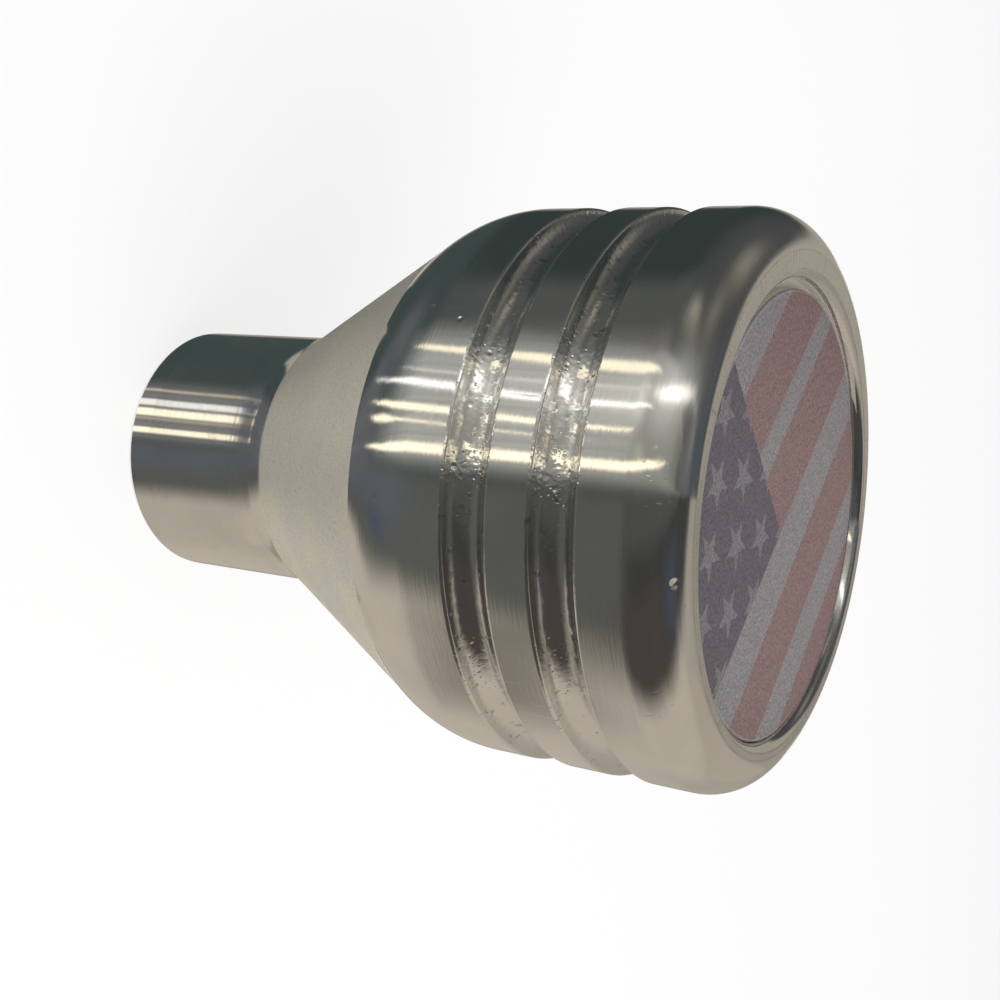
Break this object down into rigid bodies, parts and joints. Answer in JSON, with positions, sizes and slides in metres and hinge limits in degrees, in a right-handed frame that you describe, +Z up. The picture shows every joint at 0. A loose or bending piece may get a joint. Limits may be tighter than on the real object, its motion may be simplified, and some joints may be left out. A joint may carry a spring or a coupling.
{
  "type": "gear shift knob",
  "caption": "Turned aluminium gear shift knob: neck, cone and round head with grip grooves, a tapped hole for the lever and a printed badge in its top.",
  "frame": {"origin": "centre of the neck's end face, at the mouth of the lever's hole", "axes": "+Z up along the knob's axis, from the neck to the badge; +X is the way the badge lies off the axis"},
  "size_m": [0.0508, 0.0508, 0.0666],
  "materials": {
    "turned_aluminium": "turned and polished, cone left finely turned",
    "printed_badge": "grainy matte print in muted stripes"
  },
  "bodies": {
    "root": {"knob_body": "turned_aluminium", "badge_disc": "printed_badge"}
  },
  "joints": []
}
